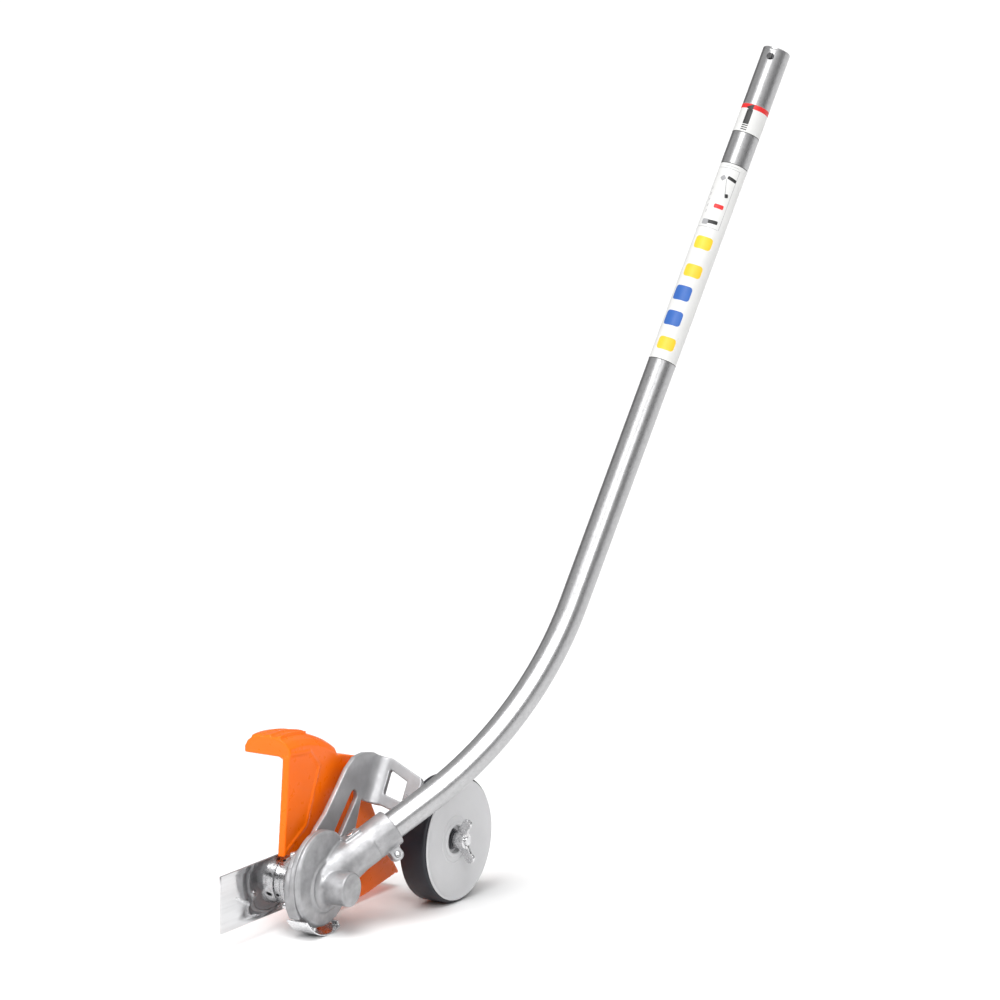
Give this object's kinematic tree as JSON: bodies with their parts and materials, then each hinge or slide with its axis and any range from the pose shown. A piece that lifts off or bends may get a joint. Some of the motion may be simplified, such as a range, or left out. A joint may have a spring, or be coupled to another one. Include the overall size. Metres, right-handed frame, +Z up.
{
  "type": "lawn and path edger attachment",
  "caption": "Curved-shaft edger attachment: bent drive tube, bevel gear head, flat steel edging blade, orange deflector and an adjustable depth wheel.",
  "frame": {"origin": "centre of the drive tube's free end", "axes": "+X is the direction of travel, +Y points from the blade to the depth wheel along the blade shaft, +Z is up with the wheel and the skid on level ground"},
  "size_m": [0.6046, 0.2589, 0.7389],
  "materials": {
    "tube_steel": "bright drawn steel",
    "liner_plastic": "extruded liner",
    "wound_steel": "wound spring steel, oiled",
    "bushing_plastic": "moulded",
    "label_film": "white printed film",
    "cast_case": "blasted casting",
    "cast_bracket": "blasted casting",
    "zinc_steel": "zinc plated",
    "bearing_steel": "ground and polished",
    "gear_steel": "hardened, oiled",
    "seal_rubber": "moulded lip seal",
    "skid_steel": "bright sheet, scuffed",
    "orange_plastic": "moulded, semi gloss",
    "black_steel": "black coated",
    "blade_steel": "bright polished, sheared edges",
    "disc_plastic": "pale grey moulded",
    "tyre_rubber": "moulded tread band"
  },
  "bodies": {
    "attachment": {"drive_tube": "tube_steel", "tube_liner": "liner_plastic", "flex_shaft": "wound_steel", "end_bushing": "bushing_plastic", "pointer_label": "label_film", "notice_label": "label_film", "gear_case": "cast_case", "gear_cover": "cast_case", "cover_screws": "zinc_steel", "clamp_screw": "zinc_steel", "locating_screw": "zinc_steel", "grease_plug": "zinc_steel", "pinion_bearings": "bearing_steel", "pinion_ring": "gear_steel", "boss_bearing": "bearing_steel", "cover_bearing": "bearing_steel", "snap_ring": "gear_steel", "shaft_seal": "seal_rubber", "skid_plate": "skid_steel", "skid_screw": "zinc_steel", "bracket": "cast_bracket", "deflector": "orange_plastic", "deflector_screws": "zinc_steel", "wheel_plate": "black_steel", "wheel_plate_bolts": "black_steel"},
    "blade_spindle": {"blade_shaft": "zinc_steel", "crown_gear": "gear_steel", "shaft_key": "gear_steel", "thrust_disc": "zinc_steel", "blade": "blade_steel", "clamp_disc": "zinc_steel", "blade_nut": "zinc_steel"},
    "pinion": {"pinion": "gear_steel"},
    "drive_end": {"drive_end": "gear_steel"},
    "wheel_carriage": {"axle_bolt": "zinc_steel", "axle_sleeve": "zinc_steel", "slide_washer": "zinc_steel", "spring_washers": "zinc_steel"},
    "wheel": {"wheel_disc": "disc_plastic", "tyre": "tyre_rubber"},
    "wing_nut": {"wing_nut": "zinc_steel"}
  },
  "joints": [
    {"name": "blade_spin", "type": "hinge", "parent": "attachment", "child": "blade_spindle", "pos_m": [0.4919, -0.1785, -0.68904], "axis": [0, -1, 0], "continuous": true},
    {"name": "pinion_spin", "type": "hinge", "parent": "attachment", "child": "pinion", "pos_m": [0.4919, -0.1785, -0.68904], "axis": [-0.7133, 0.4721, 0.518], "continuous": true},
    {"name": "drive_end_spin", "type": "hinge", "parent": "attachment", "child": "drive_end", "pos_m": [0, 0, 0], "axis": [-0.4914, 0.1, 0.8652], "continuous": true},
    {"name": "wheel_height", "type": "slide", "parent": "attachment", "child": "wheel_carriage", "axis": [0, 0, 1], "range_m": [-0.034, 0.004]},
    {"name": "wheel_spin", "type": "hinge", "parent": "wheel_carriage", "child": "wheel", "pos_m": [0.3414, -0.1385, -0.67584], "axis": [0, 1, 0], "continuous": true},
    {"name": "wing_nut_turn", "type": "hinge", "parent": "wheel_carriage", "child": "wing_nut", "pos_m": [0.3414, -0.1385, -0.67584], "axis": [0, 1, 0], "range_deg": [0, 360]}
  ],
  "couplings": [
    {"joint": "pinion_spin", "follows": "blade_spin", "ratio": -2},
    {"joint": "drive_end_spin", "follows": "blade_spin", "ratio": -2}
  ]
}
